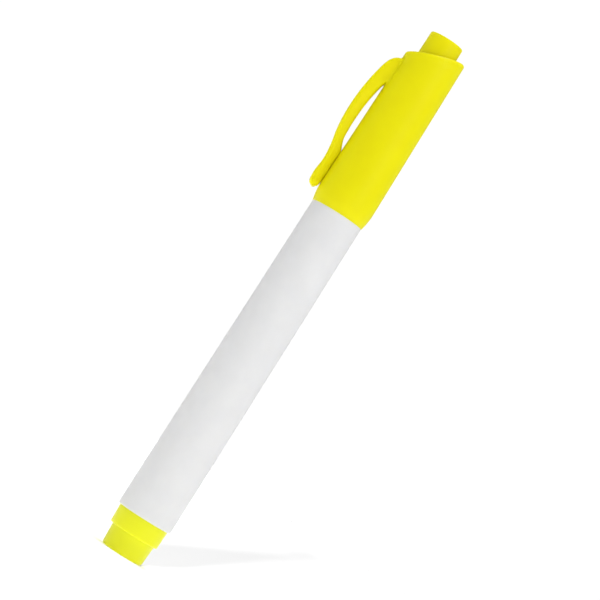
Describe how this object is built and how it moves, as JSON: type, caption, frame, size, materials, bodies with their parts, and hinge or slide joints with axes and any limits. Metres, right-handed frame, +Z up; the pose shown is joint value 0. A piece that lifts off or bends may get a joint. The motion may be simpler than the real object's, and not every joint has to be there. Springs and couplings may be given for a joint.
{
  "type": "counterfeit detector pen",
  "caption": "Capped felt-tip ink marker for testing banknote paper, with a round tapered barrel, a pressed-in tail plug and a pull-off cap with a slanted top, spring clip and inner seal.",
  "frame": {"origin": "centre of the tail plug's flat end face", "axes": "+Z up the pen's axis from the tail to the cap, -X towards the clip"},
  "size_m": [0.0179, 0.014, 0.137],
  "materials": {
    "cap_yellow": "satin moulded",
    "tail_yellow": "satin moulded",
    "barrel_white": "satin moulded",
    "holder_white": "matte moulded",
    "nib_felt": "bonded fibre, ink-stained",
    "reservoir_fibre": "loose fibre bundle",
    "clear_film": "thin clear film",
    "vent_tube_plastic": "natural extruded"
  },
  "bodies": {
    "barrel": {"barrel": "barrel_white", "tail_plug": "tail_yellow", "nib_holder": "holder_white", "nib": "nib_felt", "reservoir": "reservoir_fibre", "reservoir_film": "clear_film", "vent_tube": "vent_tube_plastic"},
    "inner_cap": {"inner_cap": "cap_yellow"},
    "cap": {"cap_shell": "cap_yellow"},
    "clip": {"cap_clip": "cap_yellow"}
  },
  "joints": [
    {"name": "cap_pull", "type": "slide", "parent": "barrel", "child": "inner_cap", "axis": [0, 0, 1], "range_m": [0, 0.045]},
    {"name": "cap_turn", "type": "hinge", "parent": "inner_cap", "child": "cap", "pos_m": [0, 0, 0.12], "axis": [0, 0, 1], "continuous": true},
    {"name": "clip_flex", "type": "hinge", "parent": "cap", "child": "clip", "pos_m": [-0.00842, 0, 0.1216], "axis": [0, 1, 0], "range_deg": [0, 6], "stiffness_Nm_per_rad": 1.5}
  ]
}
